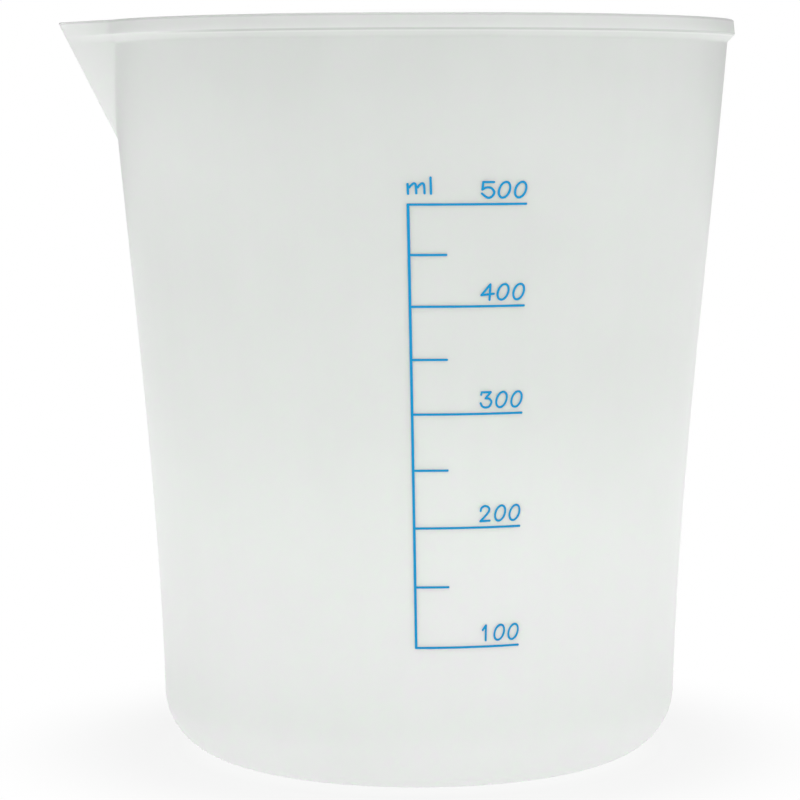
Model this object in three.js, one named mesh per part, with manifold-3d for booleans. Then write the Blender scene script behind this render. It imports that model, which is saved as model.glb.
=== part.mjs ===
// Measuring beaker: one moulded plastic vessel with a beaded rim, a pouring spout and a scale printed in ink.
// Millimetres, +Z up. The origin is on the vessel's axis, on the plane that it stands on.
// The spout points along -X and the scale faces -Y.
import * as THREE from 'three';
import { ParametricGeometry } from 'three/addons/geometries/ParametricGeometry.js';
import { mergeVertices } from 'three/addons/utils/BufferGeometryUtils.js';
import Module from 'manifold-3d';

// Vessel
const HEIGHT = 119;
const RIM_RADIUS = 50.3; // outside of the wall at the rim
const FOOT_RADIUS = 41.8; // outside of the wall, carried down to the base
const RIM_SLOPE = 0.077; // how fast the wall opens at the rim, outwards as a share of upwards
const FOOT_SLOPE = 0.003; // the same at the base
const WALL = 1.4;
const FLOOR = 3.7;
const FOOT_CORNER = 10; // outside radius between the wall and the base

// Bead round the rim
const BEAD_HEIGHT = 2.3;
const BEAD_PROUD = 1.1; // how far its lower edge stands off the wall
const BEAD_DRAFT = 0.4; // how much less its upper edge stands off
const BEAD_BEVEL = 1.2; // height of the slope under it
const RIM_EDGE = 0.3; // bevel along its top edge

// Spout
const SPOUT_REACH = 8.2; // from the wall at the rim out to the tip
const SPOUT_DEPTH = 19.5; // from the rim down to the foot of the keel
const SPOUT_HALF_WIDTH = 17; // from the keel to the root, at the rim
const SPOUT_NOSE = 2.5; // roundness of the keel at the rim
const SPOUT_FILLET = 0.6; // softening of the crease between spout and wall

// Scale
const CUBIC_MM_IN_ML = 1000;
const CAPACITY_ML = 500;
const FIRST_MARK_ML = 100;
const MARK_STEP_ML = 50;
const NUMBER_STEP_ML = 100; // marks at these steps are long and carry a number
const TOP_MARGIN = 6; // the least distance from a mark up to the rim

// Printed ink
const INK = 0.1; // thickness of the ink
const INK_GAP = 0.08; // clear of the wall's facets
const PEN = 0.42; // stroke of the numbers
const POOL_SPREAD = 1.12; // width of the ink that pools where strokes meet, in strokes
const MARK_LINE = 0.45; // stroke of the marks
const SPINE_LINE = 0.5; // stroke of the line that the marks start from
const SPINE_X = -0.92; // middle of that line, round the wall from the front
const LONG_MARK = 16.6;
const SHORT_MARK = 5.2;
const DIGIT_HEIGHT = 2.32; // between the middles of the top and bottom strokes
const DIGIT_GAP = 0.24; // between the digits of a number
const DIGIT_RISE = 0.6; // clear above a mark, under its number
const UNIT_RISE = 1.25; // clear above the top mark, under the unit
const LETTER_GAP = 0.5; // between the letters of the unit
const PRINT_LEAN = 0.0143; // how far the print's upright lines lean back, as a share of their height
const PRINT_FACING = -Math.PI / 2;
const SPOUT_FACING = Math.PI;

// Facets
const TURN_STEPS = 96;
const TURN_CROWDING = 0.5; // draws the facets together at the spout
const CORNER_STEPS = 5;
const WALL_STEPS = 12;
const SPOUT_STEPS = 5;
const MARK_STEPS = 8;
const SPINE_STEPS = 10;
const STROKE_STEPS = 8;
const OVAL_STEPS = 16;
const END_STEPS = 4;
const POOL_STEPS = 12;
const FILL_SLICE = 0.02;

const POLYPROPYLENE = { color: 0xdfe3de, roughness: 0.42, metalness: 0 };
const BLUE_INK = { color: 0x2b86bd, roughness: 0.5, metalness: 0 };

const SPOUT_FOOT = HEIGHT - SPOUT_DEPTH;
const SPOUT_ROOT_ANGLE = Math.asin(SPOUT_HALF_WIDTH / RIM_RADIUS);
const BEAD_BOTTOM = HEIGHT - BEAD_HEIGHT;
const CAVITY_CORNER = Math.max(FOOT_CORNER - WALL, WALL);
const SPINE_RIGHT = SPINE_X + SPINE_LINE / 2;

const wasm = await Module();
wasm.setup();

// Outside of the wall at a height: a cubic that leaves the base and reaches the rim at their own slopes.
function wallRadius(z) {
  const t = z / HEIGHT;
  const rise = t * t * (3 - 2 * t);
  const bow = HEIGHT * t * (1 - t) * (FOOT_SLOPE * (1 - t) - RIM_SLOPE * t);
  return THREE.MathUtils.lerp(FOOT_RADIUS, RIM_RADIUS, rise) + bow;
}

// How far a round corner of this radius draws in at a height above the face that it meets.
function cornerInset(height, radius) {
  const below = Math.max(radius - height, 0);
  return radius - Math.sqrt(radius ** 2 - below ** 2);
}

// Outside of the spout at a height, in the direction that lies off its keel by an angle.
// Its level section is a V with a rounded nose, a hyperbola, and the radius is the root of a quadratic.
function spoutRadius(angle, z) {
  const share = (z - SPOUT_FOOT) / SPOUT_DEPTH;
  const spread = Math.sqrt(share);
  const halfWidth = SPOUT_HALF_WIDTH * spread;
  const nose = SPOUT_NOSE * spread;
  const keel = THREE.MathUtils.lerp(wallRadius(SPOUT_FOOT), RIM_RADIUS + SPOUT_REACH, share);
  const root = Math.sqrt(wallRadius(z) ** 2 - halfWidth ** 2);
  const pitch = (keel - root) / (Math.hypot(halfWidth, nose) - nose);
  const apex = keel + pitch * nose;
  const turned = Math.min(angle, Math.atan(pitch));
  const across = pitch * Math.sin(turned);
  const along = Math.cos(turned);
  const reach = apex ** 2 - (pitch * nose) ** 2;
  const half = apex * along;
  return reach / (half + Math.sqrt(half ** 2 + (across ** 2 - along ** 2) * reach));
}

// Outside of the vessel: the wall, or the spout where it stands further out, with a soft crease between.
function outsideRadius(angle, z) {
  const wall = wallRadius(z);
  const share = (z - SPOUT_FOOT) / SPOUT_DEPTH;
  if (share <= 0) return wall;
  const spout = spoutRadius(angle, z);
  const fillet = SPOUT_FILLET * Math.sqrt(share);
  const overlap = Math.max(fillet - Math.abs(spout - wall), 0);
  return Math.max(spout, wall) + overlap ** 2 / (4 * fillet);
}

// The bead stands off all round and runs out towards the tip of the spout.
function beadShare(angle) {
  return THREE.MathUtils.smoothstep(angle, 0, SPOUT_ROOT_ANGLE);
}

// Rings of a round corner, from its flat face to the wall. The wall's outside is drawn in by an inset.
function cornerRings(faceZ, radius, inset) {
  return Array.from({ length: CORNER_STEPS + 1 }, (_, i) => {
    const rise = radius * (1 - Math.cos((i / CORNER_STEPS) * (Math.PI / 2)));
    return { z: faceZ + rise, inset: inset + cornerInset(rise, radius) };
  });
}

// Rings up a stretch of wall, without the first.
function wallRings(from, to, steps, inset) {
  return Array.from({ length: steps }, (_, i) => ({
    z: THREE.MathUtils.lerp(from, to, (i + 1) / steps),
    inset,
  }));
}

// The rings of the whole vessel, from the middle of the base, over the rim, to the middle of the floor.
function vesselRings() {
  const bevelBottom = BEAD_BOTTOM - BEAD_BEVEL;
  const beadTop = BEAD_PROUD - BEAD_DRAFT;
  const outside = [
    ...cornerRings(0, FOOT_CORNER, 0),
    ...wallRings(FOOT_CORNER, SPOUT_FOOT, WALL_STEPS, 0),
    ...wallRings(SPOUT_FOOT, bevelBottom, SPOUT_STEPS, 0),
  ];
  const bead = [
    { z: BEAD_BOTTOM, inset: 0, proud: BEAD_PROUD },
    { z: HEIGHT - RIM_EDGE, inset: 0, proud: beadTop },
    { z: HEIGHT, inset: RIM_EDGE, proud: beadTop },
  ];
  const cavityCornerTop = FLOOR + CAVITY_CORNER;
  const inside = [
    ...cornerRings(FLOOR, CAVITY_CORNER, WALL),
    ...wallRings(cavityCornerTop, SPOUT_FOOT, WALL_STEPS, WALL),
    ...wallRings(SPOUT_FOOT, HEIGHT, SPOUT_STEPS, WALL),
  ].reverse();
  return [{ z: 0, middle: true }, ...outside, ...bead, ...inside, { z: FLOOR, middle: true }];
}

function vesselGeometry() {
  const rings = vesselRings();
  const last = rings.length - 1;
  const point = (u, v, target) => {
    const ring = rings[Math.round(v * last)];
    const turn = 2 * Math.PI * (u % 1);
    const direction = turn - TURN_CROWDING * Math.sin(turn);
    const angle = Math.min(direction, 2 * Math.PI - direction);
    const bead = (ring.proud ?? 0) * beadShare(angle);
    const radius = ring.middle ? 0 : outsideRadius(angle, ring.z) - ring.inset + bead;
    target.set(radius * Math.cos(direction), radius * Math.sin(direction), ring.z);
  };
  return new ParametricGeometry(point, TURN_STEPS, last);
}

// Inside of the vessel at a height, below the spout.
function cavityRadius(z) {
  return wallRadius(z) - WALL - cornerInset(z - FLOOR, CAVITY_CORNER);
}

// Height at which the vessel holds a volume, summed in thin slices from the floor up.
function fillHeight(millilitres) {
  let z = FLOOR;
  let volume = 0;
  while (volume < millilitres * CUBIC_MM_IN_ML && z < HEIGHT) {
    volume += Math.PI * cavityRadius(z + FILL_SLICE / 2) ** 2 * FILL_SLICE;
    z += FILL_SLICE;
  }
  return z;
}

// The scale's marks, lowest first, as far up as the wall has room for them.
function scaleMarks() {
  const marks = [];
  for (let ml = FIRST_MARK_ML; ml <= CAPACITY_ML; ml += MARK_STEP_ML) {
    const z = fillHeight(ml);
    if (z < HEIGHT - TOP_MARGIN) marks.push({ ml, z, numbered: ml % NUMBER_STEP_ML === 0 });
  }
  return marks;
}

const MARKS = scaleMarks();
const SCALE_BOTTOM = MARKS[0].z;
const SCALE_TOP = MARKS[MARKS.length - 1].z;
const PRINT_MIDDLE = (SCALE_BOTTOM + SCALE_TOP) / 2;
const PRINT_RADIUS = wallRadius(PRINT_MIDDLE);

// Wraps flat artwork onto the wall: x runs round it, y is the height and z is the thickness of the ink.
function wrap(geometry) {
  const position = geometry.getAttribute('position');
  for (let i = 0; i < position.count; i++) {
    const z = position.getY(i);
    const across = position.getX(i) + PRINT_LEAN * (PRINT_MIDDLE - z);
    const angle = across / PRINT_RADIUS;
    const radius = wallRadius(z) + INK_GAP + position.getZ(i);
    position.setXYZ(i, radius * Math.cos(angle), radius * Math.sin(angle), z);
  }
  geometry.computeVertexNormals();
  return geometry;
}

// A straight line of ink between two corners, with steps enough to follow the wall.
function inkLine(left, right, bottom, top, stepsAcross, stepsUp) {
  const line = new THREE.BoxGeometry(right - left, top - bottom, INK, stepsAcross, stepsUp, 1);
  return wrap(line.translate((left + right) / 2, (bottom + top) / 2, INK / 2));
}

const at = (x, y) => new THREE.Vector2(x * DIGIT_HEIGHT, y * DIGIT_HEIGHT);
const straight = (from, to) => new THREE.LineCurve(at(...from), at(...to));
const bend = (...through) => new THREE.SplineCurve(through.map((place) => at(...place)));

// Pen strokes of each character, in heights of a digit from its lower left corner.
const STROKES = {
  '1': [straight([0.2, 0.7], [0.43, 1]), straight([0.43, 1], [0.41, 0])],
  '2': [
    bend([0.04, 0.68], [0.1, 0.88], [0.33, 1], [0.58, 0.9], [0.62, 0.68], [0.42, 0.4], [0.02, 0]),
    straight([0.02, 0], [0.66, 0.02]),
  ],
  '3': [
    straight([0.03, 0.84], [0.07, 1]),
    straight([0.07, 1], [0.66, 1]),
    straight([0.66, 1], [0.32, 0.6]),
    bend([0.32, 0.6], [0.56, 0.57], [0.71, 0.36], [0.58, 0.08], [0.32, 0], [0.1, 0.09], [0, 0.29]),
  ],
  '4': [
    straight([0.57, 1], [0, 0.31]),
    straight([0, 0.31], [0.79, 0.39]),
    straight([0.57, 1], [0.52, 0]),
  ],
  '5': [
    straight([0.73, 1], [0.08, 1]),
    straight([0.08, 1], [0.03, 0.52]),
    bend([0.03, 0.52], [0.25, 0.65], [0.56, 0.62], [0.75, 0.36], [0.62, 0.09], [0.35, 0], [0, 0.27]),
  ],
  m: [
    straight([0, 0.62], [0.02, 0]),
    bend([0.1, 0.4], [0.21, 0.54], [0.37, 0.66], [0.48, 0.56], [0.51, 0.03]),
    bend([0.59, 0.4], [0.7, 0.54], [0.86, 0.66], [0.97, 0.56], [1, 0.03]),
  ],
  l: [straight([0, 1.03], [0.02, 0])],
};
const DIGIT_WIDTH = 0.73; // of the nought, in the same heights
const M_WIDTH = 1;
const ZERO = { x: 0.37, y: 0.5, halfWidth: 0.335, halfHeight: 0.5, slant: 0.22 };

// Outline of a stroke: along one side of its curve, round its end, back along the other and round its start.
function strokeShape(curve) {
  const steps = curve.isLineCurve ? 1 : STROKE_STEPS;
  const outline = [];
  const add = (t, turn) => {
    const outward = curve.getTangent(t).rotateAround(new THREE.Vector2(), turn);
    outline.push(curve.getPoint(t).addScaledVector(outward, PEN / 2));
  };
  const quarter = Math.PI / 2;
  for (let i = 0; i < steps; i++) add(i / steps, -quarter);
  for (let i = 0; i < END_STEPS; i++) add(1, -quarter + (i / END_STEPS) * Math.PI);
  for (let i = steps; i > 0; i--) add(i / steps, quarter);
  for (let i = 0; i < END_STEPS; i++) add(0, quarter + (i / END_STEPS) * Math.PI);
  return new THREE.Shape(outline);
}

// Ink that pools where strokes meet, a little wider than the pen.
function poolShape(middle) {
  const radius = (POOL_SPREAD * PEN) / 2;
  const circle = new THREE.EllipseCurve(middle.x, middle.y, radius, radius);
  return new THREE.Shape(circle.getPoints(POOL_STEPS).slice(0, POOL_STEPS));
}

// A character's strokes, with a pool at each place where two of them meet.
function characterShapes(character) {
  const curves = STROKES[character];
  const ends = curves.flatMap((curve) => [curve.getPoint(0), curve.getPoint(1)]);
  const meetings = ends.filter((end, i) => ends.findIndex((other) => other.equals(end)) < i);
  return [...curves.map(strokeShape), ...meetings.map(poolShape)];
}

// The nought: a slanted oval with a slanted oval hole, a pen's width apart.
function noughtShape() {
  const oval = (grow) => {
    const halfWidth = ZERO.halfWidth * DIGIT_HEIGHT + grow;
    const halfHeight = ZERO.halfHeight * DIGIT_HEIGHT + grow;
    const curve = new THREE.EllipseCurve(0, 0, halfWidth, halfHeight);
    const points = curve.getPoints(OVAL_STEPS).slice(0, OVAL_STEPS);
    const middle = at(ZERO.x, ZERO.y);
    return points.map((p) => new THREE.Vector2(p.x + ZERO.slant * p.y, p.y).add(middle));
  };
  const shape = new THREE.Shape(oval(PEN / 2));
  shape.holes.push(new THREE.Path(oval(-PEN / 2)));
  return shape;
}

// A solid for joining, made from a flat shape as thick as the ink.
function inkSolid(shape) {
  const geometry = new THREE.ExtrudeGeometry(shape, { depth: INK, bevelEnabled: false, curveSegments: 1 });
  geometry.deleteAttribute('normal');
  geometry.deleteAttribute('uv');
  const merged = mergeVertices(geometry);
  return new wasm.Manifold(
    new wasm.Mesh({
      numProp: 3,
      vertProperties: merged.getAttribute('position').array,
      triVerts: new Uint32Array(merged.index.array),
    }),
  );
}

// A printed character with its lower left corner at a place on the print.
function inkCharacter(character, x, z) {
  const shapes = character === '0' ? [noughtShape()] : characterShapes(character);
  const joined = shapes.map(inkSolid).reduce((whole, stroke) => whole.add(stroke));
  const mesh = joined.getMesh();
  const geometry = new THREE.BufferGeometry();
  geometry.setAttribute('position', new THREE.BufferAttribute(new Float32Array(mesh.vertProperties), 3));
  geometry.setIndex(new THREE.BufferAttribute(new Uint32Array(mesh.triVerts), 1));
  return wrap(geometry.translate(x, z, 0));
}

function addPiece(group, name, geometry, look) {
  const piece = new THREE.Mesh(geometry, new THREE.MeshStandardMaterial(look));
  piece.name = name;
  group.add(piece);
  return piece;
}

function addScale(group) {
  const half = MARK_LINE / 2;
  const spineLeft = SPINE_X - SPINE_LINE / 2;
  const spine = inkLine(spineLeft, SPINE_RIGHT, SCALE_BOTTOM - half, SCALE_TOP + half, 1, SPINE_STEPS);
  addPiece(group, 'scale_spine', spine, BLUE_INK);
  for (const { ml, z, numbered } of MARKS) {
    const end = SPINE_RIGHT + (numbered ? LONG_MARK : SHORT_MARK);
    const mark = inkLine(SPINE_RIGHT, end, z - half, z + half, MARK_STEPS, 1);
    addPiece(group, `mark_${ml}`, mark, BLUE_INK);
  }
}

// Each number stands over its mark and ends where the mark ends.
function addNumbers(group) {
  const right = SPINE_RIGHT + LONG_MARK;
  const pitch = DIGIT_WIDTH * DIGIT_HEIGHT + PEN + DIGIT_GAP;
  for (const { ml, z } of MARKS.filter((mark) => mark.numbered)) {
    const digits = [...String(ml)];
    const bottom = z + (MARK_LINE + PEN) / 2 + DIGIT_RISE;
    digits.forEach((digit, i) => {
      const x = right - (digits.length - i) * pitch + PEN / 2 + DIGIT_GAP;
      addPiece(group, `digit_${ml}_${i + 1}`, inkCharacter(digit, x, bottom), BLUE_INK);
    });
  }
}

function addUnit(group) {
  const bottom = SCALE_TOP + (MARK_LINE + PEN) / 2 + UNIT_RISE;
  const second = SPINE_X + M_WIDTH * DIGIT_HEIGHT + PEN + LETTER_GAP;
  addPiece(group, 'unit_m', inkCharacter('m', SPINE_X, bottom), BLUE_INK);
  addPiece(group, 'unit_l', inkCharacter('l', second, bottom), BLUE_INK);
}

const beaker = new THREE.Group();
addPiece(beaker, 'beaker_body', vesselGeometry(), POLYPROPYLENE).rotation.z = SPOUT_FACING;

const print = new THREE.Group();
addScale(print);
addNumbers(print);
addUnit(print);
print.rotation.z = PRINT_FACING;
beaker.add(print);

export default beaker;
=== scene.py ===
"""Frosted measuring beaker: its moulded surface, its printed scale and a plain studio.

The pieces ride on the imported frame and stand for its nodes.
"""
import math

import bpy
import numpy as np
from bpy.props import FloatProperty, FloatVectorProperty, IntProperty, PointerProperty
from mathutils import Matrix, Vector


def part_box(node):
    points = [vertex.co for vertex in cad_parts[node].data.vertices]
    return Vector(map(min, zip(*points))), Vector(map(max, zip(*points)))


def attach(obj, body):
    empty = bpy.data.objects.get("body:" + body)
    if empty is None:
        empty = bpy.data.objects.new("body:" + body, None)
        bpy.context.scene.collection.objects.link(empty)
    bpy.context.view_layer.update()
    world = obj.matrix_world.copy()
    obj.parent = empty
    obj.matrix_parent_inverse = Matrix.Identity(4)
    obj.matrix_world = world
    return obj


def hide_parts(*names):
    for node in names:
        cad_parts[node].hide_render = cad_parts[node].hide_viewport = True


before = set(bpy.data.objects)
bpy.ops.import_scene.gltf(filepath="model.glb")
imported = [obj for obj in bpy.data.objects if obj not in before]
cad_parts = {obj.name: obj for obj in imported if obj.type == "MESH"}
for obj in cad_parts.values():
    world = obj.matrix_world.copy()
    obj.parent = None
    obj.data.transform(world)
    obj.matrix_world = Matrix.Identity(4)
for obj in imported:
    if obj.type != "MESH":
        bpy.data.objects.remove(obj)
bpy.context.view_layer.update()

bl_info = {
    "name": "Frosted measuring beaker",
    "version": (1, 0, 0),
    "blender": (4, 5, 0),
    "location": "View3D > Sidebar > Beaker",
    "description": "Builds a moulded beaker with a printed volume scale, and a plain studio",
    "category": "Object",
}

MM = 0.001
BODY = "root"
PLASTIC_SLOT = "frosted_plastic"
INK_SLOT = "blue_ink"
_, BODY_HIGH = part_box("beaker_body")
MARK_NODES = sorted(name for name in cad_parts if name.startswith("mark_"))
DIGIT_NODES = sorted(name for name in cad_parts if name.startswith("digit_"))


# Settings


def length(name, description, millimetres):
    """A length in metres, written in millimetres."""
    return FloatProperty(
        name=name, description=description, default=millimetres * MM, unit="LENGTH", precision=5
    )


def share(name, description, default):
    """A plain number."""
    return FloatProperty(name=name, description=description, default=default, precision=4)


def colour(name, description, default):
    """A linear colour."""
    return FloatVectorProperty(
        name=name, description=description, default=default,
        subtype="COLOR", size=3, min=0.0, max=1.0,
    )


def power(name, description, default):
    """A lamp's power in watts."""
    return FloatProperty(name=name, description=description, default=default, unit="POWER")


def turn_angle(name, description, default):
    """An angle in radians."""
    return FloatProperty(name=name, description=description, default=default, subtype="ANGLE")


class VesselSizes(bpy.types.PropertyGroup):
    """Sizes of the moulded vessel."""

    height: FloatProperty(
        name="Height", description="From the base to the rim", default=BODY_HIGH.z, unit="LENGTH"
    )
    rim_radius: length("Rim radius", "Outside of the wall at the rim", 50.3)
    foot_radius: length("Foot radius", "Outside of the wall, carried down to the base", 41.8)
    rim_slope: share("Rim slope", "How fast the wall opens at the rim", 0.077)
    foot_slope: share("Foot slope", "How fast the wall opens at the base", 0.003)
    wall: length("Wall", "Thickness of the wall", 1.4)
    floor: length("Floor", "Thickness of the floor", 3.7)
    foot_corner: length("Foot corner", "Outside radius between wall and base", 10.0)
    bead_height: length("Bead height", "Height of the bead round the rim", 2.3)
    bead_proud: length("Bead", "How far the bead's lower edge stands off the wall", 1.1)
    bead_draft: length("Bead draft", "How much less the bead's upper edge stands off", 0.4)
    bead_bevel: length("Bead bevel", "Height of the slope under the bead", 1.2)
    bead_root: length("Bead root", "Hollow radius between wall and slope under the bead", 0.7)
    bead_edge: length("Bead edge", "Radius of the bead's lower edge", 0.28)
    rim_edge: length("Rim edge", "Radius of both edges along the top of the rim", 0.35)
    spout_reach: length("Spout reach", "From the wall at the rim out to the tip", 8.13)
    spout_depth: length("Spout depth", "From the rim down to the foot of the keel", 19.5)
    spout_half_width: length("Spout half width", "From the keel to the root, at the rim", 17.0)
    spout_nose: length("Spout nose", "Roundness of the keel at the rim", 2.5)
    spout_fillet: length("Spout fillet", "Softening of the crease between spout and wall", 0.3)
    turn_steps: IntProperty(
        name="Turn steps", description="Faces round the vessel", default=400, min=24
    )


class PrintSizes(bpy.types.PropertyGroup):
    """Sizes of the printed scale."""

    ink: length("Ink", "Thickness of the film of ink", 0.03)
    sink: length("Sink", "How far the film keys into the wall", 0.02)
    pen: length("Pen", "Stroke of the characters", 0.34)
    mark_line: length("Mark line", "Stroke of the marks", 0.35)
    spine_line: length("Spine line", "Stroke of the upright line", 0.42)
    spine_x: length("Spine place", "Middle of the upright line, round from the front", -0.92)
    long_mark: length("Long mark", "Length of a mark that carries a number", 16.64)
    short_mark: length("Short mark", "Length of a mark between numbers", 5.2)
    mark_end: length("Mark end", "Length over which a line's end rounds off", 0.14)
    digit_height: length("Digit height", "Between middles of top and bottom strokes", 2.32)
    digit_gap: length("Digit gap", "Between the digits of a number", 0.32)
    digit_rise: length("Digit rise", "Clear above a mark, under its number", 0.6)
    unit_rise: length("Unit rise", "Clear above the top mark, under the unit", 1.25)
    letter_gap: length("Letter gap", "Between the letters of the unit", 0.5)
    lean: share("Lean", "How far upright lines lean back, as a share of their height", 0.0143)
    ragged: share("Ragged edge", "How much a stroke's width wanders, as a share of it", 0.035)


class Finish(bpy.types.PropertyGroup):
    """Colours of the plastic and of the ink."""

    # The darker plastic, towards which painted shade moves the colour, and the paler plastic,
    # towards which painted light moves it; the clouds and flow lines vary between the two.
    plastic: colour("Plastic", "Milky plastic where it is clear", (0.7, 0.728, 0.7))
    lit_plastic: colour("Haze", "Milky plastic where it is cloudy", (0.935, 0.96, 0.935))
    ink: colour("Ink", "Printed ink", (0.002, 0.325, 0.68))
    thin_ink: colour("Thin ink", "Ink where the film is thin", (0.004, 0.35, 0.71))


class Studio(bpy.types.PropertyGroup):
    """Floor, light and camera."""

    floor_radius: length("Floor radius", "Radius of the pale floor", 1500.0)
    sides: share("Sides", "Strength of the even light from the sides", 1.08)
    ceiling: share("Ceiling", "Strength of the light from above", 0.3)
    near_glow: share("Near glow", "Floor's own light close to the beaker", 0.88)
    far_glow: share("Far glow", "Floor's own light further out", 1.07)
    seen_glow: share("Seen glow", "Share of the white seen at the beaker that takes no shadow", 0.8)
    key_power: power("Key light", "Power of the large lamp in front, on the right", 0.7)
    top_power: power("Top light", "Power of the lamp straight above", 3.4)
    focal: FloatProperty(
        name="Focal length", description="Lens, in millimetres on a 36 mm sensor", default=134.725
    )
    distance: length("Distance", "From the vessel's axis to the camera", 490.0)
    camera_height: length("Camera height", "Above the floor", 105.365)
    yaw: turn_angle("Yaw", "Turn of the camera to the right", -0.0062)
    pitch: turn_angle("Pitch", "Tilt of the camera downwards", 0.09782)
    roll: turn_angle("Roll", "Turn of the camera about its own axis", 0.00258)


# Meshes


def surface_object(name, vertices, faces, material):
    """A smooth mesh object at the origin, from an array of points and lists of corner numbers."""
    mesh = bpy.data.meshes.new(name)
    mesh.from_pydata(vertices, [], faces)
    mesh.polygons.foreach_set("use_smooth", np.ones(len(mesh.polygons), dtype=bool))
    mesh.materials.append(material)
    mesh.update()
    piece = bpy.data.objects.new(name, mesh)
    bpy.context.scene.collection.objects.link(piece)
    return piece


def ring_quads(rings, around, looped=False):
    """Corner numbers of the quads between neighbouring rings, which close round on themselves."""
    ring = np.arange(rings if looped else rings - 1)[:, None]
    step = np.arange(around)[None, :]
    above = (ring + 1) % rings
    beside = (step + 1) % around
    corners = [
        ring * around + step,
        ring * around + beside,
        above * around + beside,
        above * around + step,
    ]
    return np.stack(np.broadcast_arrays(*corners), axis=-1).reshape(-1, 4)


def capped_surface(rings, first, last):
    """Points and faces of a skin over rings of points, closed by a fan to a point at each end."""
    count, around, _ = rings.shape
    vertices = np.concatenate([rings.reshape(-1, 3), [first, last]])
    step = np.arange(around)
    beside = (step + 1) % around
    start = count * around
    top = (count - 1) * around
    fan = np.stack([np.full(around, start), beside, step], axis=-1)
    lid = np.stack([np.full(around, start + 1), top + step, top + beside], axis=-1)
    return vertices, ring_quads(count, around).tolist() + fan.tolist() + lid.tolist()


def join_surfaces(surfaces):
    """Several skins as one array of points and one list of faces."""
    vertices = np.concatenate([points for points, _ in surfaces])
    starts = np.cumsum([0] + [len(points) for points, _ in surfaces])
    faces = [
        [corner + int(start) for corner in face]
        for start, (_, some) in zip(starts, surfaces)
        for face in some
    ]
    return vertices, faces


def place(piece, slot, *nodes):
    """Lets a piece ride on the beaker and stand for its nodes."""
    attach(piece, BODY)
    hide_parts(*nodes)


# Vessel

# Rings of the skin over each stretch of the profile.
FOOT_RINGS = 30
WALL_RINGS = 30
SPOUT_RINGS = 34
EDGE_RINGS = 9
INNER_WALL_RINGS = 26
FLOOR_RINGS = 22
# How much closer together the skin's directions lie at the spout: 0 is even, and at 1 they meet.
SPOUT_CROWDING = 0.5
# Least share of the spout's rise, which keeps its section from closing to a point.
LEAST_RISE = 1e-6


def smooth_step(x, low, high):
    """A ramp from 0 to 1 that is level at both ends: three squares less two cubes of the share."""
    t = np.clip((x - low) / (high - low), 0.0, 1.0)
    return t * t * (3 - 2 * t)


def wall_radius(v, z):
    """Outside of the wall at a height: a cubic that leaves the base and reaches the rim at their
    own slopes."""
    t = z / v.height
    rise = t * t * (3 - 2 * t)
    bow = v.height * t * (1 - t) * (v.foot_slope * (1 - t) - v.rim_slope * t)
    return v.foot_radius + (v.rim_radius - v.foot_radius) * rise + bow


def corner_inset(height, radius):
    """How far a round corner draws in at a height above its face: the radius less the height of a
    circle's chord."""
    below = np.maximum(radius - height, 0.0)
    return radius - np.sqrt(radius**2 - below**2)


def spout_radius(v, angle, z, rise):
    """Outside of the spout at an angle off its keel. Its level section is a hyperbola, a V with a
    rounded nose, that widens with the square root of the rise, and the radius is the nearer root
    of a quadratic."""
    foot = v.height - v.spout_depth
    spread = np.sqrt(rise)
    half_width = v.spout_half_width * spread
    nose = v.spout_nose * spread
    keel_foot = wall_radius(v, foot)
    keel = keel_foot + (v.rim_radius + v.spout_reach - keel_foot) * rise
    root = np.sqrt(wall_radius(v, z) ** 2 - half_width**2)
    pitch = (keel - root) / (np.hypot(half_width, nose) - nose)
    apex = keel + pitch * nose
    turned = np.minimum(angle, np.arctan(pitch))
    across = pitch * np.sin(turned)
    along = np.cos(turned)
    reach = apex**2 - (pitch * nose) ** 2
    half = apex * along
    return reach / (half + np.sqrt(half**2 + (across**2 - along**2) * reach))


def outside_radius(v, angle, z):
    """Outside of the vessel: the larger of wall and spout, with a soft crease where the two are
    nearly equal."""
    wall = wall_radius(v, z)
    rise = (z - (v.height - v.spout_depth)) / v.spout_depth
    shown = np.maximum(rise, LEAST_RISE)
    spout = spout_radius(v, angle, z, shown)
    fillet = v.spout_fillet * np.sqrt(shown)
    overlap = np.maximum(fillet - np.abs(spout - wall), 0.0)
    joined = np.maximum(spout, wall) + overlap**2 / (4 * fillet)
    return np.where(rise > 0, joined, wall)


def round_corners(points, radii, steps):
    """A line through points whose inner corners give way to arcs that touch both their sides."""
    points = np.asarray(points, dtype=float)
    radii = np.asarray(radii, dtype=float)[:, None]
    corner = points[1:-1]
    ahead = points[2:] - corner
    back = points[:-2] - corner
    ahead /= np.linalg.norm(ahead, axis=1, keepdims=True)
    back /= np.linalg.norm(back, axis=1, keepdims=True)
    half = np.arccos(np.clip((ahead * back).sum(axis=1, keepdims=True), -1, 1)) / 2
    inward = ahead + back
    inward /= np.linalg.norm(inward, axis=1, keepdims=True)
    centre = corner + inward * radii / np.sin(half)
    start = corner + back * radii / np.tan(half) - centre
    end = corner + ahead * radii / np.tan(half) - centre
    sweep = (np.pi - 2 * half)[:, None, :]
    along = np.linspace(0, 1, steps)[None, :, None]
    arcs = np.sin((1 - along) * sweep) * start[:, None] + np.sin(along * sweep) * end[:, None]
    arcs = centre[:, None] + arcs / np.sin(sweep)
    return np.concatenate([points[:1], arcs.reshape(-1, 2), points[-1:]])


def corner_profile(face_z, radius, inset, steps):
    """Heights and insets of a round corner, in equal turns from its flat face to the wall."""
    rise = radius * (1 - np.cos(np.linspace(0, np.pi / 2, steps)))
    return face_z + rise, inset + corner_inset(rise, radius)


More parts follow.
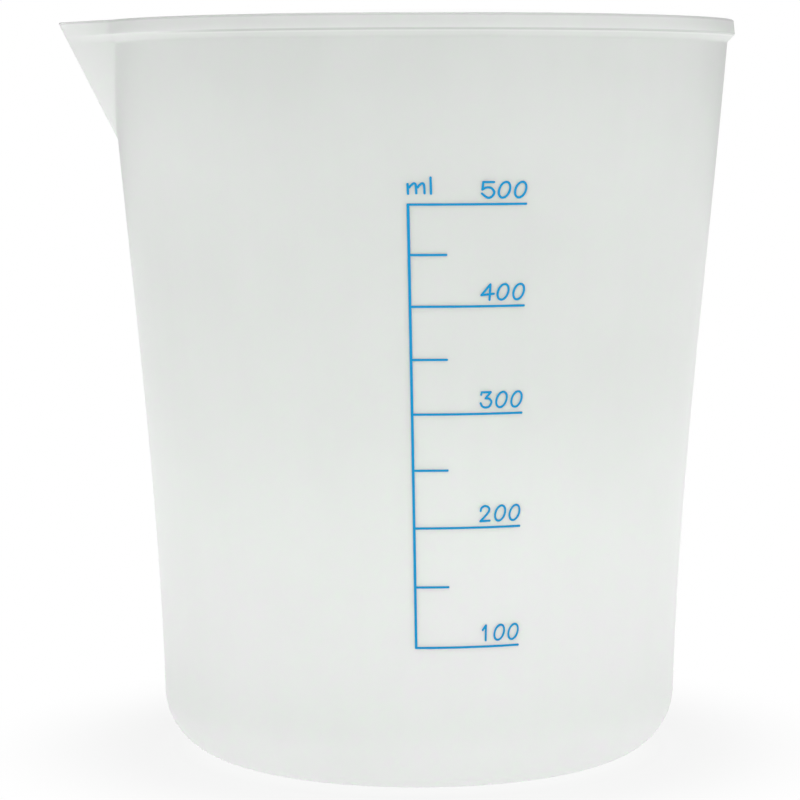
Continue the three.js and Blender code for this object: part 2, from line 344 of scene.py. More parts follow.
def rim_profile(v):
    """Heights, bead and insets over the rim: up the slope under the bead, over its two edges and
    in over the top. What stands off as bead fades across the top, so the top's inner edge keeps
    to the wall."""
    bead_bottom = v.height - v.bead_height
    bevel_bottom = bead_bottom - v.bead_bevel
    bead_top = v.bead_proud - v.bead_draft
    line = [
        (0.0, bevel_bottom - v.bead_root),
        (0.0, bevel_bottom),
        (v.bead_proud, bead_bottom),
        (bead_top, v.height),
        (-v.wall, v.height),
        (-v.wall, v.height - 2 * v.rim_edge),
    ]
    radii = [v.bead_root, v.bead_edge, v.rim_edge, v.rim_edge]
    off, z = round_corners(line, radii, EDGE_RINGS).T
    across = (bead_top - v.rim_edge - off) / (bead_top + v.wall - 2 * v.rim_edge)
    fading = np.maximum(off, bead_top) * (1 - np.clip(across, 0, 1))
    under_top = np.arange(len(off)) < 1 + 2 * EDGE_RINGS
    bead = np.where(under_top, off, fading)
    return z, bead, bead - off


def vessel_profile(v):
    """Heights, bead and insets from the edge of the base, up the outside, over the rim and down
    the inside to the floor."""
    spout_foot = v.height - v.spout_depth
    rim_z, rim_bead, rim_inset = rim_profile(v)
    foot_z, foot_inset = corner_profile(0.0, v.foot_corner, 0.0, FOOT_RINGS)
    wall_z = np.linspace(v.foot_corner, spout_foot, WALL_RINGS)[1:]
    spout_z = np.linspace(spout_foot, rim_z[0], SPOUT_RINGS)[1:-1]
    inner_spout_z = np.linspace(rim_z[-1], spout_foot, SPOUT_RINGS)[1:]
    floor_corner = max(v.foot_corner - v.wall, v.wall)
    floor_z, floor_inset = corner_profile(v.floor, floor_corner, v.wall, FLOOR_RINGS)
    inner_wall_z = np.linspace(spout_foot, floor_z[-1], INNER_WALL_RINGS)[1:-1]
    outside_z = np.concatenate([foot_z, wall_z, spout_z])
    inside_z = np.concatenate([inner_spout_z, inner_wall_z])
    no_bead_inside = np.zeros(len(inside_z) + len(floor_z))
    outside_inset = np.concatenate([foot_inset, np.zeros(len(wall_z) + len(spout_z))])
    inside_inset = np.concatenate([np.full_like(inside_z, v.wall), floor_inset[::-1]])
    z = np.concatenate([outside_z, rim_z, inside_z, floor_z[::-1]])
    bead = np.concatenate([np.zeros_like(outside_z), rim_bead, no_bead_inside])
    return z, bead, np.concatenate([outside_inset, rim_inset, inside_inset])


def vessel_surface(v):
    """The vessel's skin: the outside radius at each direction and height, plus the bead, less the
    inset. Directions crowd towards the spout, and the bead runs out towards its tip."""
    z, bead, inset = (row[:, None] for row in vessel_profile(v))
    turn = np.linspace(0, 2 * np.pi, v.turn_steps, endpoint=False)[None, :]
    direction = turn - SPOUT_CROWDING * np.sin(turn)
    angle = np.minimum(direction, 2 * np.pi - direction)
    bead_share = smooth_step(angle, 0.0, math.asin(v.spout_half_width / v.rim_radius))
    radius = outside_radius(v, angle, z) + bead * bead_share - inset
    facing = direction + np.pi
    skin = np.broadcast_arrays(radius * np.cos(facing), radius * np.sin(facing), z)
    return capped_surface(np.stack(skin, axis=-1), (0.0, 0.0, 0.0), (0.0, 0.0, v.floor))


# Print

# Pen strokes of each character, in heights of a digit from its lower left corner. A stroke of two
# points is straight.
STROKES = {
    "1": [[(0.2, 0.7), (0.43, 1)], [(0.43, 1), (0.41, 0)]],
    "2": [
        [(0.04, 0.68), (0.1, 0.88), (0.33, 1), (0.58, 0.9), (0.62, 0.68), (0.42, 0.4), (0.02, 0)],
        [(0.02, 0), (0.66, 0.02)],
    ],
    "3": [
        [(0.03, 0.84), (0.07, 1)],
        [(0.07, 1), (0.66, 1)],
        [(0.66, 1), (0.32, 0.6)],
        [(0.32, 0.6), (0.56, 0.57), (0.71, 0.36), (0.58, 0.08), (0.32, 0), (0.1, 0.09), (0, 0.29)],
    ],
    "4": [[(0.57, 1), (0, 0.31)], [(0, 0.31), (0.79, 0.39)], [(0.57, 1), (0.52, 0)]],
    "5": [
        [(0.73, 1), (0.08, 1)],
        [(0.08, 1), (0.03, 0.52)],
        [
            (0.03, 0.52), (0.25, 0.65), (0.56, 0.62), (0.75, 0.36),
            (0.62, 0.09), (0.35, 0), (0, 0.27),
        ],
    ],
    "m": [
        [(0, 0.62), (0.02, 0)],
        [(0.1, 0.4), (0.21, 0.54), (0.37, 0.66), (0.48, 0.56), (0.51, 0.03)],
        [(0.59, 0.4), (0.7, 0.54), (0.86, 0.66), (0.97, 0.56), (1, 0.03)],
    ],
    "l": [[(0, 1.03), (0.02, 0)]],
}
DIGIT_WIDTH = 0.73
M_WIDTH = 1.0
NOUGHT = {"middle": (0.37, 0.5), "half_width": 0.335, "half_height": 0.5, "slant": 0.22}

# Points along a curved stroke, a straight stroke, a nought and a line of the scale, round the
# film's section and over a stroke's rounded end.
CURVE_POINTS = 28
STRAIGHT_POINTS = 12
NOUGHT_POINTS = 56
LINE_POINTS = 40
FILM_POINTS = 12
END_POINTS = 8

# Waves of a stroke's ragged edge: the length of each in metres to a radian, and its share of the
# seed. A nought has a whole number of waves.
RAGGED_WAVES = ((0.00031, 1.0), (0.00047, 2.1), (0.00083, 4.7))
NOUGHT_WAVES = 3
# How far apart the seeds of neighbouring digits lie, and where those of the unit's letters start.
DIGIT_SEED = 1.7
UNIT_SEED = 40.0


def through(points):
    """A smooth line through points: between two of them a cubic whose slopes follow the points on
    either side."""
    points = np.asarray(points, dtype=float)
    count = CURVE_POINTS if len(points) > 2 else STRAIGHT_POINTS
    t = np.linspace(0, len(points) - 1, count)
    left = np.minimum(t.astype(int), len(points) - 2)
    w = (t - left)[:, None]
    p0, p1 = points[np.maximum(left - 1, 0)], points[left]
    p2, p3 = points[left + 1], points[np.minimum(left + 2, len(points) - 1)]
    slope, next_slope = (p2 - p0) / 2, (p3 - p1) / 2
    square, cube = w**2, w**3
    return (
        (2 * p1 - 2 * p2 + slope + next_slope) * cube
        + (-3 * p1 + 3 * p2 - 2 * slope - next_slope) * square
        + slope * w
        + p1
    )


def scale_heights():
    """Height of each mark, from the middle of its node's box."""
    return {name: (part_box(name)[0].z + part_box(name)[1].z) / 2 for name in MARK_NODES}


def wrap(context, flat, lift):
    """Lays flat points on the wall: across runs round it, up is the height, and lift stands out
    from it. The angle is the distance across, less the lean, over the wall's radius at the middle
    of the scale."""
    v, p = context.scene.beaker_vessel, context.scene.beaker_print
    heights = scale_heights().values()
    middle = (min(heights) + max(heights)) / 2
    z = flat[..., 1]
    angle = (flat[..., 0] + p.lean * (middle - z)) / wall_radius(v, middle) - np.pi / 2
    radius = wall_radius(v, z) + lift
    return np.stack([radius * np.cos(angle), radius * np.sin(angle), z], axis=-1)


def film_section(p):
    """Across and lift of a film of ink round its section: flat on top, with rounded edges, and
    keyed into the wall."""
    phi = np.linspace(0, 2 * np.pi, FILM_POINTS, endpoint=False)
    bulge = np.sign(np.sin(phi)) * np.sqrt(np.abs(np.sin(phi)))
    return np.cos(phi), np.where(bulge > 0, p.ink, p.sink) * bulge


def wander(along, seed):
    """A slow, irregular wave along a stroke: the mean of sines of unrelated lengths."""
    waves = [np.sin(along / wave + part * seed) for wave, part in RAGGED_WAVES]
    return sum(waves) / len(waves)


def sides(path, closed=False):
    """Unit directions along a line and to its left."""
    if closed:
        ahead = np.roll(path, -1, axis=0) - np.roll(path, 1, axis=0)
    else:
        ahead = np.gradient(path, axis=0)
    ahead /= np.linalg.norm(ahead, axis=1, keepdims=True)
    return ahead, np.stack([-ahead[:, 1], ahead[:, 0]], axis=-1)


def pen_stroke(context, path, half, cap, seed):
    """A film of ink along a line: the section carried along it, with ends that round off as
    quarter ellipses."""
    p = context.scene.beaker_print
    ahead, left = sides(path)
    turn = np.linspace(0, np.pi / 2, END_POINTS)[1:-1, None]
    opening = path[0] - ahead[0] * cap * np.cos(turn)
    closing = path[-1] + ahead[-1] * cap * np.cos(turn[::-1])
    middle = np.concatenate([opening, path, closing])
    first_left, last_left = (np.repeat(end, len(turn), axis=0) for end in (left[:1], left[-1:]))
    beside = np.concatenate([first_left, left, last_left])
    taper = np.concatenate([np.sin(turn[:, 0]), np.ones(len(path)), np.sin(turn[::-1, 0])])
    along = np.concatenate([[0.0], np.cumsum(np.linalg.norm(np.diff(middle, axis=0), axis=1))])
    width = half * taper * (1 + p.ragged * wander(along, seed))
    across, lift = film_section(p)
    flat = middle[:, None] + beside[:, None] * (width[:, None] * across)[..., None]
    rings = wrap(context, flat, np.sqrt(taper)[:, None] * lift)
    tips = np.stack([path[0] - ahead[0] * cap, path[-1] + ahead[-1] * cap])
    first, last = wrap(context, tips, np.zeros(2))
    return capped_surface(rings, first, last)


def nought(context, corner, seed):
    """The nought: the section carried round a slanted ellipse."""
    p = context.scene.beaker_print
    turn = np.linspace(0, 2 * np.pi, NOUGHT_POINTS, endpoint=False)
    up = NOUGHT["half_height"] * np.sin(turn)
    right = NOUGHT["half_width"] * np.cos(turn) + NOUGHT["slant"] * up
    path = corner + p.digit_height * (np.array(NOUGHT["middle"]) + np.stack([right, up], axis=-1))
    _, left = sides(path, closed=True)
    width = p.pen / 2 * (1 + p.ragged * np.sin(NOUGHT_WAVES * turn + seed))
    across, lift = film_section(p)
    flat = path[:, None] + left[:, None] * (width[:, None] * across)[..., None]
    rings = wrap(context, flat, np.broadcast_to(lift, flat.shape[:2]))
    return rings.reshape(-1, 3), ring_quads(len(turn), len(across), looped=True).tolist()


def character(context, letter, x, z, seed):
    """A printed character with its lower left corner at a place on the print."""
    p = context.scene.beaker_print
    corner = np.array([x, z])
    if letter == "0":
        return nought(context, corner, seed)
    half = p.pen / 2
    lines = [corner + p.digit_height * through(points) for points in STROKES[letter]]
    strokes = [pen_stroke(context, line, half, half, seed + i) for i, line in enumerate(lines)]
    return join_surfaces(strokes)


def straight_line(context, start, end, half, seed):
    """A printed line between two places, whose ends round off within its length."""
    p = context.scene.beaker_print
    start, end = np.array(start), np.array(end)
    inward = (end - start) / np.linalg.norm(end - start) * p.mark_end
    steps = np.linspace(0, 1, LINE_POINTS)[:, None]
    path = start + inward + (end - start - 2 * inward) * steps
    return pen_stroke(context, path, half, p.mark_end, seed)


# Nodes

# Sockets of a Mix node that mixes colours.
MIX_FIRST, MIX_SECOND, MIX_RESULT = 6, 7, 2
WHITE = (1.0, 1.0, 1.0, 1.0)


def node_tree(owner, output):
    """The emptied node tree of a material or world, and the socket that takes its surface."""
    owner.use_nodes = True
    tree = owner.node_tree
    tree.nodes.clear()
    return tree, tree.nodes.new(output).inputs["Surface"]


def new_material(name):
    """A node material that holds only its shader."""
    material = bpy.data.materials.new(name)
    tree, surface = node_tree(material, "ShaderNodeOutputMaterial")
    shader = tree.nodes.new("ShaderNodeBsdfPrincipled")
    tree.links.new(shader.outputs["BSDF"], surface)
    return material, tree, shader


def feed(tree, socket, value):
    """Links a socket to an input, or writes a number or colour into it."""
    if isinstance(value, bpy.types.NodeSocket):
        tree.links.new(value, socket)
    else:
        socket.default_value = value


def add_node(tree, kind, settings=None, **inputs):
    """A node with its settings, and inputs that are numbers, colours or sockets to link from."""
    node = tree.nodes.new(kind)
    for name, value in (settings or {}).items():
        setattr(node, name, value)
    for name, value in inputs.items():
        feed(tree, node.inputs[name.replace("_", " ")], value)
    return node


def calculate(tree, operation, *values):
    """The result of a Math node on one or two values."""
    node = add_node(tree, "ShaderNodeMath", {"operation": operation})
    for socket, value in zip(node.inputs, values):
        feed(tree, socket, value)
    return node.outputs["Value"]


def ramp(tree, value, low, high, at_low=0.0, at_high=1.0, kind="LINEAR"):
    """A value carried from one range to another, and held past the ends."""
    node = add_node(
        tree, "ShaderNodeMapRange", {"interpolation_type": kind}, Value=value,
        From_Min=low, From_Max=high, To_Min=at_low, To_Max=at_high,
    )
    return node.outputs["Result"]


def grey_ramp(tree, share_along, stops, blend):
    """A ramp of grey values: pairs of a place from 0 to 1 and the value there."""
    node = add_node(tree, "ShaderNodeValToRGB", Fac=share_along)
    band = node.color_ramp
    band.interpolation = blend
    for _ in stops[2:]:
        band.elements.new(1.0)
    for element, (position, value) in zip(band.elements, stops):
        element.position = position
        element.color = (value, value, value, 1.0)
    return node.outputs["Color"]


def away(tree, spot):
    """How far a place lies from the origin."""
    node = add_node(tree, "ShaderNodeVectorMath", {"operation": "LENGTH"})
    tree.links.new(spot, node.inputs[0])
    return node.outputs["Value"]


def stretched(tree, spot, scale):
    """A place with each of its axes scaled."""
    return add_node(tree, "ShaderNodeMapping", Vector=spot, Scale=scale).outputs["Vector"]


def mixed_colour(tree, factor, first, second, clamped=True):
    """Two colours mixed by a factor that varies over the surface."""
    node = add_node(
        tree, "ShaderNodeMix", {"data_type": "RGBA", "clamp_factor": clamped}, Factor=factor
    )
    node.inputs[MIX_FIRST].default_value = (*first, 1.0)
    node.inputs[MIX_SECOND].default_value = (*second, 1.0)
    return node.outputs[MIX_RESULT]


def mixed_shader(tree, factor, first, second):
    """Two shaders mixed by a factor."""
    node = add_node(tree, "ShaderNodeMixShader", Fac=factor)
    tree.links.new(first, node.inputs[1])
    tree.links.new(second, node.inputs[2])
    return node.outputs["Shader"]


def camera_ray(tree):
    """1 for what the camera sees directly, and 0 for light on its way."""
    return tree.nodes.new("ShaderNodeLightPath").outputs["Is Camera Ray"]


# Materials

# Detail and roughness of the fine grain's noise, and the part of its range that is used.
GRAIN_DETAIL = 3.0
GRAIN_ROUGHNESS = 0.6
GRAIN_RANGE = (0.3, 0.7)


def grain_group():
    """Node group: fine uneven grain from a place, between a low and a high value."""
    group = bpy.data.node_groups.get("fine_grain")
    if group:
        return group
    group = bpy.data.node_groups.new("fine_grain", "ShaderNodeTree")
    group.interface.new_socket("Place", in_out="INPUT", socket_type="NodeSocketVector")
    for name in ("Scale", "Low", "High"):
        group.interface.new_socket(name, in_out="INPUT", socket_type="NodeSocketFloat")
    group.interface.new_socket("Grain", in_out="OUTPUT", socket_type="NodeSocketFloat")
    given = group.nodes.new("NodeGroupInput").outputs
    noise = add_node(
        group, "ShaderNodeTexNoise", Vector=given["Place"], Scale=given["Scale"],
        Detail=GRAIN_DETAIL, Roughness=GRAIN_ROUGHNESS,
    )
    spread = ramp(group, noise.outputs["Fac"], *GRAIN_RANGE, given["Low"], given["High"])
    group.links.new(spread, group.nodes.new("NodeGroupOutput").inputs["Grain"])
    return group


def grain(tree, spot, scale, low, high):
    """The fine grain group in a material, with its own values."""
    settings = {"node_tree": grain_group()}
    node = add_node(tree, "ShaderNodeGroup", settings, Place=spot, Scale=scale, Low=low, High=high)
    return node.outputs["Grain"]


def satin_skin(tree, shader, spot, gloss, relief):
    """A satin skin on a shader: grain in the roughness, from its scale and two ends, and grain as
    bump, from its scale, strength and depth."""
    tree.links.new(grain(tree, spot, *gloss), shader.inputs["Roughness"])
    scale, strength, depth = relief
    bump = add_node(
        tree, "ShaderNodeBump", Strength=strength, Distance=depth,
        Height=grain(tree, spot, scale, 0.0, 1.0),
    )
    tree.links.new(bump.outputs["Normal"], shader.inputs["Normal"])


# Grain as scale, low and high: soft clouds in the plastic, upright flow lines, and the gloss of
# plastic and ink. Relief as scale, strength and depth.
PLASTIC_CLOUDS = (28.0, -0.06, 0.06)
PLASTIC_FLOW = (260.0, -0.015, 0.015)
FLOW_STRETCH = (1.0, 1.0, 0.06)
PLASTIC_GLOSS = (900.0, 0.3, 0.38)
PLASTIC_RELIEF = (350.0, 0.05, 0.0001)
INK_FILM = (1500.0, 0.0, 0.8)
INK_GLOSS = (3000.0, 0.4, 0.55)
INK_RELIEF = (4000.0, 0.15, 0.00002)
INK_SHINE = 0.15
# What the plastic is like in the mass.
PLASTIC_MASS = {
    "IOR": 1.49,
    "Subsurface Weight": 1.0,
    "Subsurface Radius": (1.0, 0.79, 1.0),
    "Subsurface Scale": 0.002,
}

# Painted light and shade by height: how far the plastic goes from its darker to its paler colour,
# darkest towards the rim, darker in the foot's corner and palest low on the wall.
PAINTED_LIGHT_BY_HEIGHT = [
    (0.0, 0.53), (0.06, 0.7), (0.15, 0.93), (0.26, 0.88), (0.38, 0.76),
    (0.52, 0.4), (0.68, 0.31), (0.81, 0.33), (0.89, 0.22), (0.96, 0.03),
    (0.974, 0.05), (0.984, 0.2), (0.992, 0.08), (1.0, 0.0),
]
# The same over the top band of the outside, where 0.5 changes nothing: a painted shade line along
# the bead's lower edge, with painted highlights on the slope under it, all of which run out towards
# the spout.
BEAD_BAND = 0.004
BEAD_PAINTED_SHADE_AND_HIGHLIGHT = [
    (0.0, 0.5), (0.125, 0.5), (0.3, 0.47), (0.355, 0.6), (0.3875, 0.1),
    (0.43, 0.1), (0.475, 0.52), (0.88, 0.5),
]
# Distances from the axis over which the bead's painted shade and highlights set in, and places
# across over which they run out towards the spout.
BEAD_OUTSIDE = (0.0489, 0.0492)
BEAD_RUN_OUT = (-0.04, -0.029)
# Painted shade along the rim's top: how dark, and how far under the top that starts and is full.
LIP_PAINTED_SHADE = -0.7
LIP_START, LIP_FULL = 0.0005, 0.00025
# Painted shade along the spout's keel: how dark, over what width to each side, and places across
# over which it fades.
KEEL_PAINTED_SHADE = -0.35
KEEL_WIDTH = 0.003
KEEL_FADE = (-0.053, -0.047)


def painted_bead_shade_and_highlight(tree, spot, axes):
    """Painted shade and highlights along the bead, on the outside only: how much lighter or darker
    the plastic is made there.
    """
    share_up = ramp(tree, axes["Z"], BODY_HIGH.z - BEAD_BAND, BODY_HIGH.z)
    level = ramp(tree, grey_ramp(tree, share_up, BEAD_PAINTED_SHADE_AND_HIGHLIGHT, "LINEAR"), 0.0, 1.0, -1.0, 1.0)
    outside = ramp(tree, away(tree, stretched(tree, spot, (1.0, 1.0, 0.0))), *BEAD_OUTSIDE)
    beside = ramp(tree, axes["X"], *BEAD_RUN_OUT)
    return calculate(tree, "MULTIPLY", calculate(tree, "MULTIPLY", level, outside), beside)


def painted_lip_shade(tree, axes):
    """Painted shade along the rim's top: how much darker the plastic is made there."""
    top = BODY_HIGH.z
    return ramp(tree, axes["Z"], top - LIP_START, top - LIP_FULL, 0.0, LIP_PAINTED_SHADE)


def painted_keel_shade(tree, axes):
    """Painted shade along the spout's keel, where its two sides meet: how much darker the plastic
    is made there.
    """
    near = ramp(tree, calculate(tree, "ABSOLUTE", axes["Y"]), 0.0, KEEL_WIDTH, KEEL_PAINTED_SHADE, 0.0)
    return calculate(tree, "MULTIPLY", near, ramp(tree, axes["X"], *KEEL_FADE, 1.0, 0.0))


def frosted_plastic(look):
    """Milky, frosted plastic: cloudy in the mass, with faint upright flow lines and a satin skin,
    and with light and shade painted into its colour by height, along the bead, along the rim's top
    and along the spout's keel."""
    material, tree, shader = new_material("milky_plastic")
    spot = tree.nodes.new("ShaderNodeTexCoord").outputs["Object"]
    axes = add_node(tree, "ShaderNodeSeparateXYZ", Vector=spot).outputs
    clouds = grain(tree, spot, *PLASTIC_CLOUDS)
    flow = grain(tree, stretched(tree, spot, FLOW_STRETCH), *PLASTIC_FLOW)
    # Painted light and shade by height, between the darker and the paler plastic.
    lit_plastic = grey_ramp(tree, ramp(tree, axes["Z"], 0.0, BODY_HIGH.z), PAINTED_LIGHT_BY_HEIGHT, "B_SPLINE")
    painted_light_and_shade = (lit_plastic, painted_bead_shade_and_highlight(tree, spot, axes), painted_lip_shade(tree, axes), painted_keel_shade(tree, axes))
    shade = calculate(tree, "ADD", clouds, flow)
    for painted_mark in painted_light_and_shade:
        shade = calculate(tree, "ADD", shade, painted_mark)
    base = mixed_colour(tree, shade, look.plastic, look.lit_plastic, clamped=False)
    tree.links.new(base, shader.inputs["Base Color"])
    satin_skin(tree, shader, spot, PLASTIC_GLOSS, PLASTIC_RELIEF)
    for name, value in PLASTIC_MASS.items():
        shader.inputs[name].default_value = value
    return material


def printed_ink(look):
    """Satin printed ink, with a slightly uneven film."""
    found = bpy.data.materials.get("printed_ink")
    if found:
        return found
    material, tree, shader = new_material("printed_ink")
    spot = tree.nodes.new("ShaderNodeTexCoord").outputs["Object"]
    base = mixed_colour(tree, grain(tree, spot, *INK_FILM), look.ink, look.thin_ink)
    tree.links.new(base, shader.inputs["Base Color"])
    satin_skin(tree, shader, spot, INK_GLOSS, INK_RELIEF)
    shader.inputs["Specular IOR Level"].default_value = INK_SHINE
    return material


# Stage

# Distances from the beaker's axis over which the floor's own light grows, and over which the white
# that the camera sees stops taking a shadow.
FLOOR_LIT = (0.05, 0.2)
FLOOR_SEEN = (0.042, 0.078)
FLOOR_PAINT = (0.9, 0.9, 0.9, 1.0)
# The floor's rings and the faces round it, and the root of its smallest ring's share of its radius.
DISC_RINGS = 24
DISC_STEPS = 96
DISC_START = 0.02

# Share of the light by direction, from in front of the beaker to straight behind it.
ROUND_ABOUT = [(0.0, 1.0), (0.6, 1.0), (0.86, 0.33), (0.95, 0.34), (1.0, 0.55)]
# Rise of a direction over which the light from the sides gives way to the light from above.
SIDES_END = (0.1, 0.75)

# Place of each lamp, the point that it faces, and its size.
KEY_LAMP = ((0.5, -1.1, 0.45), (0, 0, 0.06), 0.9)
TOP_LAMP = ((0, 0, 0.9), (0, 0, 0), 0.35)
SENSOR_WIDTH = 36.0
CLIP_START = 0.01


def pale_floor(s):
    """White floor that lights the beaker from below, less so close to it. The camera sees it as
    plain white that takes a soft shadow near the beaker."""
    material = bpy.data.materials.new("pale_floor")
    tree, surface = node_tree(material, "ShaderNodeOutputMaterial")
    out = away(tree, tree.nodes.new("ShaderNodeTexCoord").outputs["Object"])
    lit = ramp(tree, out, *FLOOR_LIT, s.near_glow, s.far_glow, "SMOOTHSTEP")
    seen = ramp(tree, out, *FLOOR_SEEN, s.seen_glow, 1.0, "SMOOTHSTEP")
    light = add_node(tree, "ShaderNodeEmission", Color=WHITE, Strength=lit).outputs["Emission"]
    plain = add_node(tree, "ShaderNodeEmission", Color=WHITE, Strength=1.0).outputs["Emission"]
    paint = add_node(tree, "ShaderNodeBsdfDiffuse", Color=FLOOR_PAINT).outputs["BSDF"]
    shown = mixed_shader(tree, seen, paint, plain)
    tree.links.new(mixed_shader(tree, camera_ray(tree), light, shown), surface)
    return material


def floor_surface(radius):
    """A flat disc: rings whose radii grow as a square, so that they are close under the beaker."""
    out = radius * np.linspace(DISC_START, 1, DISC_RINGS)[:, None] ** 2
    turn = np.linspace(0, 2 * np.pi, DISC_STEPS, endpoint=False)[None, :]
    rings = np.broadcast_arrays(out * np.cos(turn), out * np.sin(turn), np.zeros_like(out))
    quads = ring_quads(DISC_RINGS, DISC_STEPS)[:, ::-1].tolist()
    return np.stack(rings, axis=-1).reshape(-1, 3), quads + [list(range(DISC_STEPS))]


def area_lamp(name, power_in_watts, spot, target, size):
    """A square lamp that faces a point."""
    light = bpy.data.lights.new(name, "AREA")
    light.shape = "SQUARE"
    light.size = size
    light.energy = power_in_watts
    lamp = bpy.data.objects.new(name, light)
    lamp.location = spot
    lamp.rotation_euler = (Vector(target) - Vector(spot)).to_track_quat("-Z", "Y").to_euler()
    bpy.context.scene.collection.objects.link(lamp)


def studio_world(s):
    """Even light from all sides, darker overhead and straight behind, and plain white to the
    camera."""
    world = bpy.data.worlds.new("studio")
    tree, surface = node_tree(world, "ShaderNodeOutputWorld")
    direction = tree.nodes.new("ShaderNodeTexCoord").outputs["Generated"]
    axes = add_node(tree, "ShaderNodeSeparateXYZ", Vector=direction).outputs
    level = ramp(tree, axes["Z"], *SIDES_END, s.sides, s.ceiling, "SMOOTHSTEP")
    shade = grey_ramp(tree, ramp(tree, axes["Y"], -1.0, 1.0), ROUND_ABOUT, "EASE")
    room, white = (
        add_node(tree, "ShaderNodeBackground", Color=tint, Strength=strength).outputs["Background"]
        for tint, strength in ((shade, level), (WHITE, 1.0))
    )
    tree.links.new(mixed_shader(tree, camera_ray(tree), room, white), surface)
    return world


def studio_camera(s):
    """The camera in front of the beaker, turned by its yaw, pitch and roll."""
    data = bpy.data.cameras.new("camera")
    data.sensor_width = SENSOR_WIDTH
    data.lens = s.focal
    data.clip_start = CLIP_START
    camera = bpy.data.objects.new("camera", data)
    level = math.cos(s.pitch)
    ahead = Vector((math.sin(s.yaw) * level, math.cos(s.yaw) * level, -math.sin(s.pitch)))
    right = Vector((math.cos(s.yaw), -math.sin(s.yaw), 0.0))
    up = right.cross(ahead)
    turned_right = right * math.cos(s.roll) - up * math.sin(s.roll)
    turned_up = up * math.cos(s.roll) + right * math.sin(s.roll)
    turn = Matrix((turned_right, turned_up, -ahead)).transposed()
    stand = Vector((0.0, -s.distance, s.camera_height))
    camera.matrix_world = Matrix.LocRotScale(stand, turn, None)
    bpy.context.scene.collection.objects.link(camera)
    return camera


# Operators


class BEAKER_OT_vessel(bpy.types.Operator):
    """Make the moulded vessel"""

    bl_idname = "beaker.vessel"
    bl_label = "Vessel"

    def execute(self, context):
        vertices, faces = vessel_surface(context.scene.beaker_vessel)
        if not np.isfinite(vertices).all():
            raise ValueError("the vessel's sizes don't make a surface")
        plastic = frosted_plastic(context.scene.beaker_finish)
        vessel = surface_object("moulded_vessel", vertices, faces, plastic)
        place(vessel, PLASTIC_SLOT, "beaker_body")
        return {"FINISHED"}


class BEAKER_OT_scale_lines(bpy.types.Operator):
    """Print the upright line and the marks of the scale"""

    bl_idname = "beaker.scale_lines"
    bl_label = "Scale lines"

    def execute(self, context):
        p = context.scene.beaker_print
        ink = printed_ink(context.scene.beaker_finish)
        heights = scale_heights()
        half = p.mark_line / 2
        half_spine = p.spine_line / 2
        low, high = min(heights.values()) - half, max(heights.values()) + half
        line = straight_line(context, (p.spine_x, low), (p.spine_x, high), half_spine, 0.0)
        place(surface_object("ink_spine", *line, ink), INK_SLOT, "scale_spine")
        for seed, (node, z) in enumerate(heights.items(), start=1):
            numbered = int(node.split("_")[1]) % 100 == 0
            end = p.spine_x + half_spine + (p.long_mark if numbered else p.short_mark)
            line = straight_line(context, (p.spine_x, z), (end, z), half, float(seed))
            place(surface_object("ink_" + node, *line, ink), INK_SLOT, node)
        return {"FINISHED"}


class BEAKER_OT_numbers(bpy.types.Operator):
    """Print the numbers over the long marks"""

    bl_idname = "beaker.numbers"
    bl_label = "Numbers"

    def execute(self, context):
        p = context.scene.beaker_print
        ink = printed_ink(context.scene.beaker_finish)
        heights = scale_heights()
        right = p.spine_x + p.spine_line / 2 + p.long_mark
        pitch = DIGIT_WIDTH * p.digit_height + p.pen + p.digit_gap
        for seed, node in enumerate(DIGIT_NODES):
            _, number, place_in_number = node.split("_")
            z = heights["mark_" + number] + (p.mark_line + p.pen) / 2 + p.digit_rise
            index = int(place_in_number) - 1
            x = right - (len(number) - index) * pitch + p.pen / 2 + p.digit_gap
            digit = character(context, number[index], x, z, DIGIT_SEED * seed)
            place(surface_object("ink_" + node, *digit, ink), INK_SLOT, node)
        return {"FINISHED"}


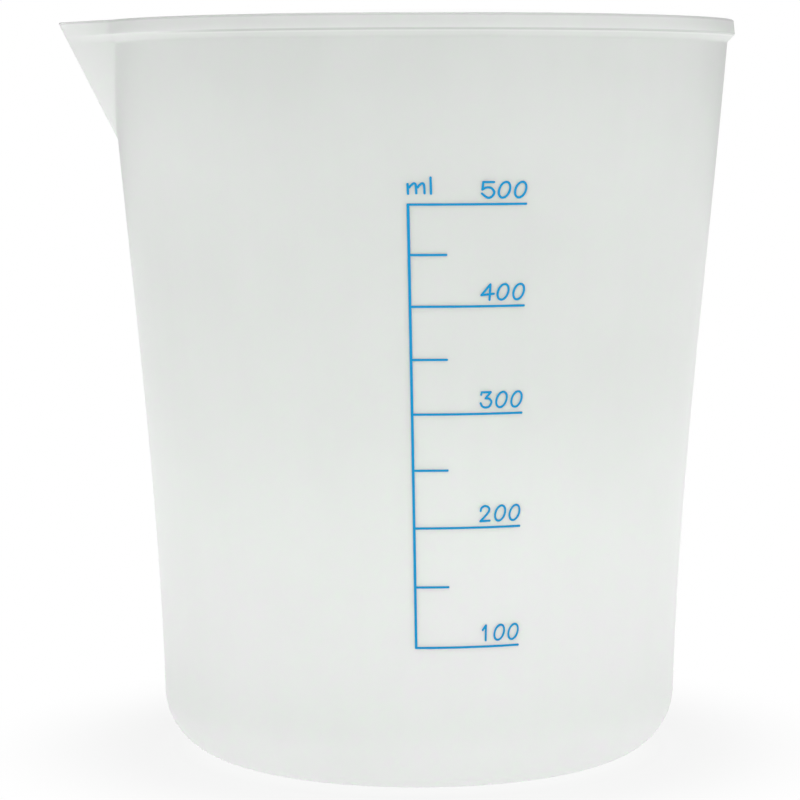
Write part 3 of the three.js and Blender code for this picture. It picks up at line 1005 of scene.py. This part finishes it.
class BEAKER_OT_unit(bpy.types.Operator):
    """Print the unit over the top of the scale"""

    bl_idname = "beaker.unit"
    bl_label = "Unit"

    def execute(self, context):
        p = context.scene.beaker_print
        ink = printed_ink(context.scene.beaker_finish)
        z = max(scale_heights().values()) + (p.mark_line + p.pen) / 2 + p.unit_rise
        second = p.spine_x + M_WIDTH * p.digit_height + p.pen + p.letter_gap
        for letter, x in (("m", p.spine_x), ("l", second)):
            shape = character(context, letter, x, z, UNIT_SEED + x)
            place(surface_object("ink_unit_" + letter, *shape, ink), INK_SLOT, "unit_" + letter)
        return {"FINISHED"}


class BEAKER_OT_stage(bpy.types.Operator):
    """Make the floor, the light and the camera"""

    bl_idname = "beaker.stage"
    bl_label = "Stage"

    def execute(self, context):
        s = context.scene.beaker_studio
        floor = surface_object("floor", *floor_surface(s.floor_radius), pale_floor(s))
        area_lamp("key_lamp", s.key_power, *KEY_LAMP)
        area_lamp("top_lamp", s.top_power, *TOP_LAMP)
        context.scene.world = studio_world(s)
        context.scene.camera = studio_camera(s)
        context.scene.view_settings.view_transform = "Standard"
        return {"FINISHED"}


class BEAKER_PT_sidebar(bpy.types.Panel):
    """Lists the steps that build the beaker"""

    bl_idname = "BEAKER_PT_sidebar"
    bl_label = "Beaker"
    bl_space_type = "VIEW_3D"
    bl_region_type = "UI"
    bl_category = "Beaker"

    def draw(self, context):
        for step in STEPS:
            self.layout.operator(step.bl_idname)


STEPS = (
    BEAKER_OT_vessel,
    BEAKER_OT_scale_lines,
    BEAKER_OT_numbers,
    BEAKER_OT_unit,
    BEAKER_OT_stage,
)
SETTINGS = {
    "beaker_vessel": VesselSizes,
    "beaker_print": PrintSizes,
    "beaker_finish": Finish,
    "beaker_studio": Studio,
}


def register():
    """Adds the settings, the operators and the panel."""
    for cls in (*SETTINGS.values(), *STEPS, BEAKER_PT_sidebar):
        bpy.utils.register_class(cls)
    for name, cls in SETTINGS.items():
        setattr(bpy.types.Scene, name, PointerProperty(type=cls))


def unregister():
    """Removes what register adds."""
    for name in SETTINGS:
        delattr(bpy.types.Scene, name)
    for cls in (BEAKER_PT_sidebar, *reversed(STEPS), *reversed(SETTINGS.values())):
        bpy.utils.unregister_class(cls)


def main():
    """Builds the beaker step by step."""
    register()
    bpy.ops.beaker.vessel()
    bpy.ops.beaker.scale_lines()
    bpy.ops.beaker.numbers()
    bpy.ops.beaker.unit()
    bpy.ops.beaker.stage()


if __name__ == "__main__":
    main()
